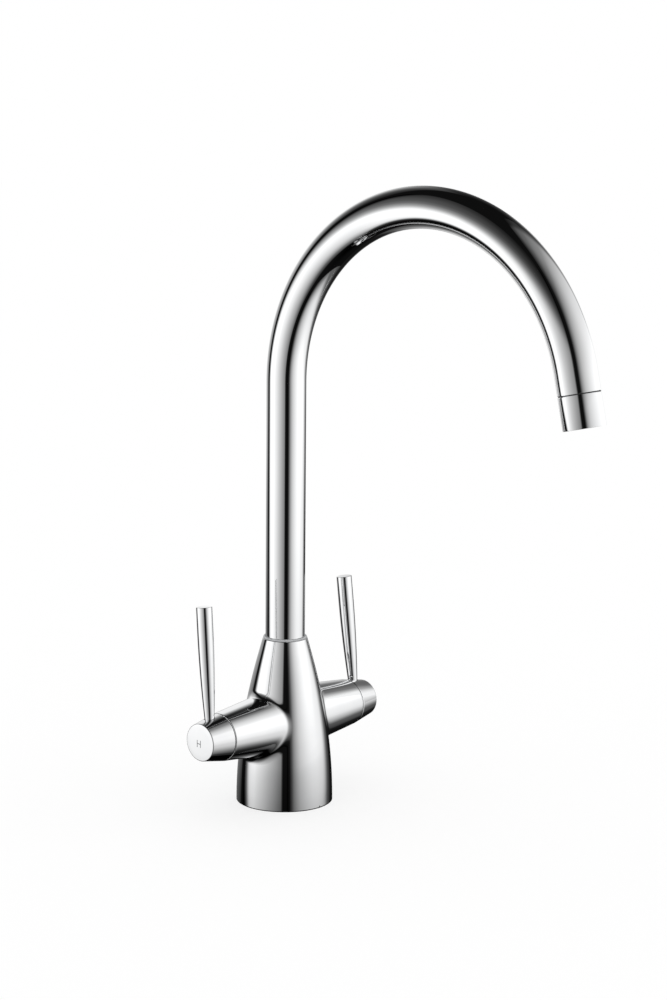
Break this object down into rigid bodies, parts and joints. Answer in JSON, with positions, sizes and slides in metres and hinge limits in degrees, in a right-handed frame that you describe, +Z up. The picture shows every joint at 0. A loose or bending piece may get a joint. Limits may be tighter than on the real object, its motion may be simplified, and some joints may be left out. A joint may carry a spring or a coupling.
{
  "type": "kitchen mixer tap",
  "caption": "Deck-mounted chrome kitchen mixer tap with a swivelling swan-neck spout and a pin lever on each side for hot and cold water.",
  "frame": {"origin": "centre of the base on the deck face", "axes": "+Z up along the spout's riser, -Y towards the user along the spout, -X the hot handle, +X the cold handle"},
  "size_m": [0.134, 0.2394, 0.347],
  "materials": {
    "chrome_casting": "polished chrome plate on cast brass",
    "chrome_tube": "polished chrome plate on drawn brass tube",
    "chrome_handle": "polished chrome plate on turned brass",
    "turned_brass": "turned brass with fine tool marks",
    "screw_steel": "plain stainless steel",
    "alumina": "lapped alumina",
    "black_rubber": "moulded nitrile rubber",
    "white_plastic": "moulded acetal",
    "grey_plastic": "moulded acetal"
  },
  "bodies": {
    "body": {"body": "chrome_casting", "base_gasket": "black_rubber", "neck_ring": "grey_plastic", "spout_washer": "white_plastic", "spout_screw": "screw_steel", "hot_seat_seal": "black_rubber", "hot_fixed_disc": "alumina", "hot_bonnet": "turned_brass", "hot_bonnet_ring": "black_rubber", "hot_valve_washer": "white_plastic", "cold_seat_seal": "black_rubber", "cold_fixed_disc": "alumina", "cold_bonnet": "turned_brass", "cold_bonnet_ring": "black_rubber", "cold_valve_washer": "white_plastic"},
    "spout": {"spout_tube": "chrome_tube", "spout_foot": "turned_brass", "spout_rings": "black_rubber", "outlet_nipple": "turned_brass", "seam_ring": "black_rubber", "aerator_housing": "chrome_tube", "aerator_washer": "black_rubber", "aerator_plate": "white_plastic", "aerator_insert": "grey_plastic"},
    "hot_handle": {"hot_hub": "chrome_handle", "hot_lever": "chrome_handle", "hot_grub_screw": "screw_steel", "hot_spindle": "turned_brass", "hot_spindle_rings": "black_rubber", "hot_spindle_clip": "screw_steel", "hot_moving_disc": "alumina"},
    "cold_handle": {"cold_hub": "chrome_handle", "cold_lever": "chrome_handle", "cold_grub_screw": "screw_steel", "cold_spindle": "turned_brass", "cold_spindle_rings": "black_rubber", "cold_spindle_clip": "screw_steel", "cold_moving_disc": "alumina"}
  },
  "joints": [
    {"name": "spout_swivel", "type": "hinge", "parent": "body", "child": "spout", "pos_m": [0, 0, 0.08], "axis": [0, 0, 1], "continuous": true},
    {"name": "hot_turn", "type": "hinge", "parent": "body", "child": "hot_handle", "pos_m": [-0.052, 0, 0.046], "axis": [1, 0, 0], "range_deg": [0, 90]},
    {"name": "cold_turn", "type": "hinge", "parent": "body", "child": "cold_handle", "pos_m": [0.052, 0, 0.046], "axis": [1, 0, 0], "range_deg": [0, 90]}
  ]
}
